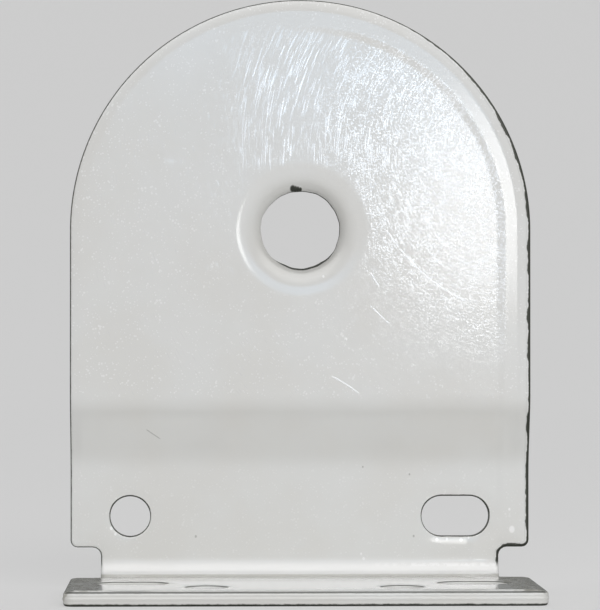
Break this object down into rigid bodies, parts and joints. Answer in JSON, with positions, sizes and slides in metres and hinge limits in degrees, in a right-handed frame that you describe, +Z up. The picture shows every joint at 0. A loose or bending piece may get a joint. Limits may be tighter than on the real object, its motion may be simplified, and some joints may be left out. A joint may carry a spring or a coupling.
{
  "type": "roller blind bracket",
  "caption": "Folded sheet-steel end bracket for a roller blind: round-topped plate with a drawn hub hole, a shallow step and a slotted fixing flange, enamelled white.",
  "frame": {"origin": "on the roller's axis, at the centre of the drawn hub hole, in the plane of the lower plate's front face", "axes": "+Z up the plate, away from the fixing face; -Y towards the side that the flange points to, along the roller's axis; +X across the plate, towards its slot"},
  "size_m": [0.055, 0.0268, 0.0705],
  "materials": {
    "white_enamel": "gloss"
  },
  "bodies": {
    "root": {"bracket": "white_enamel"}
  },
  "joints": []
}
